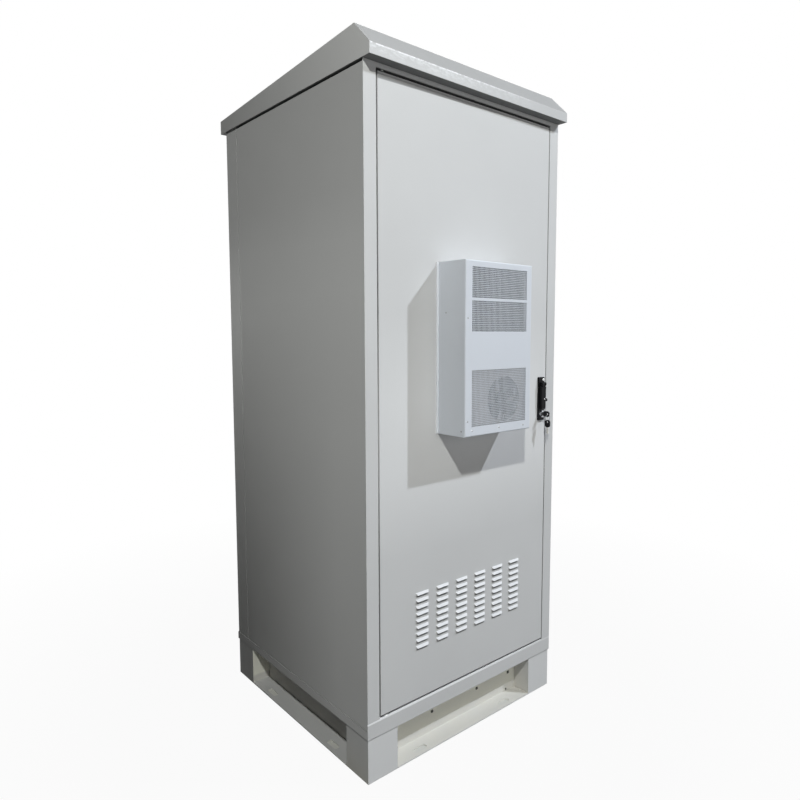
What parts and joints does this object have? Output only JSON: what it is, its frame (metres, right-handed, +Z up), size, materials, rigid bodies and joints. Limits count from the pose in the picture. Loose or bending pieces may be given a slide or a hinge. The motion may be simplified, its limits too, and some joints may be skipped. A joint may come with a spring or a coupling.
{
  "type": "roadside utility cabinet",
  "caption": "Floor-standing outdoor steel cabinet on a plinth, with a sloping roof cap and a flush door that carries a cooling unit, a louvre field and a swing-handle rod lock",
  "frame": {"origin": "on the ground, at the centre of the four floor anchor slots", "axes": "+X to the right seen from the door, +Y to the back, +Z up"},
  "size_m": [0.8068, 0.94, 2.032],
  "materials": {
    "body_paint": "light grey fine-texture powder coat",
    "unit_paint": "smooth white powder coat",
    "zinc_steel": "zinc-coated sheet steel",
    "coil_metal": "plain aluminium fins",
    "motor_paint": "black enamel",
    "lock_black": "black coated zinc casting",
    "lock_chrome": "nickel-chrome plate",
    "key_finish": "black plastic bow with a nickel blade",
    "black_plastic": "black moulded nylon",
    "rubber": "black foam rubber",
    "filter_mat": "grey filter mat"
  },
  "bodies": {
    "cabinet": {"plinth_leg_front_left": "body_paint", "plinth_leg_front_right": "body_paint", "plinth_leg_rear_left": "body_paint", "plinth_leg_rear_right": "body_paint", "plinth_wall_front": "body_paint", "plinth_wall_rear": "body_paint", "plinth_wall_left": "body_paint", "plinth_wall_right": "body_paint", "base_rail_front": "body_paint", "base_rail_rear": "body_paint", "base_rail_left": "body_paint", "base_rail_right": "body_paint", "floor_plate": "zinc_steel", "cable_grommets": "rubber", "front_post_left": "body_paint", "front_post_right": "body_paint", "rear_post_left": "body_paint", "rear_post_right": "body_paint", "side_panel_left": "body_paint", "side_panel_right": "body_paint", "rear_panel": "body_paint", "head_rail": "body_paint", "ceiling_plate": "body_paint", "roof_cap": "body_paint", "roof_spacers": "rubber", "rack_rail_front_left": "zinc_steel", "rack_rail_front_right": "zinc_steel", "rack_rail_rear_left": "zinc_steel", "rack_rail_rear_right": "zinc_steel", "rail_supports": "zinc_steel", "pivot_top": "zinc_steel", "pivot_bottom": "zinc_steel"},
    "door": {"door_panel": "body_paint", "door_stiffener_left": "zinc_steel", "door_stiffener_right": "zinc_steel", "door_gasket": "rubber", "louvre_filter": "filter_mat", "pivot_bushes": "black_plastic", "unit_cover": "unit_paint", "unit_back_plate": "unit_paint", "condenser_coil": "coil_metal", "evaporator_coil": "coil_metal", "fan_shroud": "zinc_steel", "fan_motor": "motor_paint", "compressor": "motor_paint", "lock_escutcheon": "lock_black", "lock_barrel": "lock_chrome", "rod_guides": "black_plastic"},
    "lock_hub": {"lock_hub": "lock_black", "lock_cam": "zinc_steel"},
    "lock_handle": {"lock_handle": "lock_black"},
    "rod_upper": {"lock_rod_upper": "zinc_steel"},
    "rod_lower": {"lock_rod_lower": "zinc_steel"},
    "lock_key": {"lock_plug": "lock_chrome", "key": "key_finish"},
    "key_bunch": {"key_ring": "lock_chrome", "spare_key": "key_finish"},
    "fan": {"motor_shaft": "zinc_steel", "fan_impeller": "black_plastic", "blower_wheel": "black_plastic"}
  },
  "joints": [
    {"name": "door_swing", "type": "hinge", "parent": "cabinet", "child": "door", "pos_m": [-0.334, -0.392, 0], "axis": [0, 0, -1], "range_deg": [0, 115]},
    {"name": "lock_swivel", "type": "hinge", "parent": "door", "child": "lock_hub", "pos_m": [0.328, -0.4, 1.08], "axis": [0, 1, 0], "range_deg": [0, 90]},
    {"name": "lock_lift", "type": "hinge", "parent": "lock_hub", "child": "lock_handle", "pos_m": [0.328, -0.4126, 1.08], "axis": [-1, 0, 0], "range_deg": [0, 35]},
    {"name": "rod_upper_slide", "type": "slide", "parent": "door", "child": "rod_upper", "axis": [0, 0, 1], "range_m": [-0.01132, 0]},
    {"name": "rod_lower_slide", "type": "slide", "parent": "door", "child": "rod_lower", "axis": [0, 0, 1], "range_m": [0, 0.01132]},
    {"name": "key_turn", "type": "hinge", "parent": "door", "child": "lock_key", "pos_m": [0.328, -0.4, 0.98], "axis": [0, 1, 0], "range_deg": [0, 90]},
    {"name": "bunch_swing", "type": "hinge", "parent": "lock_key", "child": "key_bunch", "pos_m": [0.328, -0.4331, 0.98], "axis": [-1, 0, 0], "range_deg": [-12, 60]},
    {"name": "fan_spin", "type": "hinge", "parent": "door", "child": "fan", "pos_m": [0.028, -0.45, 1.057], "axis": [0, 1, 0], "continuous": true}
  ],
  "couplings": [
    {"joint": "rod_upper_slide", "follows": "lock_swivel", "m_per_rad": -0.0072025},
    {"joint": "rod_lower_slide", "follows": "lock_swivel", "m_per_rad": 0.0072025}
  ]
}
